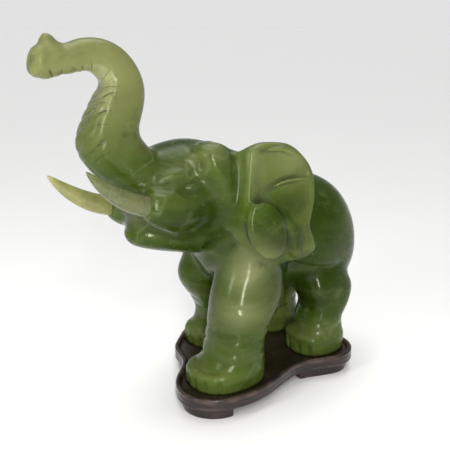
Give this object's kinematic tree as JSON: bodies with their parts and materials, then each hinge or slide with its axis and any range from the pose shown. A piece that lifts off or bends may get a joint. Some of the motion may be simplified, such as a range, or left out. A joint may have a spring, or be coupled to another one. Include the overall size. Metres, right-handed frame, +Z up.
{
  "type": "figurine",
  "caption": "Carved jade elephant with a raised trunk and two set-in tusks, standing loose in shallow pockets of a lobed carved wood stand",
  "frame": {"origin": "On the supporting surface, under the middle of the whole ornament's bounding box.", "axes": "+Z up. The elephant faces -X, its left side faces -Y and its right side +Y."},
  "size_m": [0.1598, 0.0782, 0.1569],
  "materials": {
    "jade": "polished",
    "pale_jade": "polished",
    "stand_wood": "glossy lacquer"
  },
  "bodies": {
    "stand": {"wood_stand": "stand_wood"},
    "elephant": {"jade_elephant": "jade", "left_tusk": "pale_jade", "right_tusk": "pale_jade"}
  },
  "joints": [
    {"name": "lift_off", "type": "slide", "parent": "stand", "child": "elephant", "axis": [0, 0, 1], "range_m": [0, 0.04]}
  ]
}
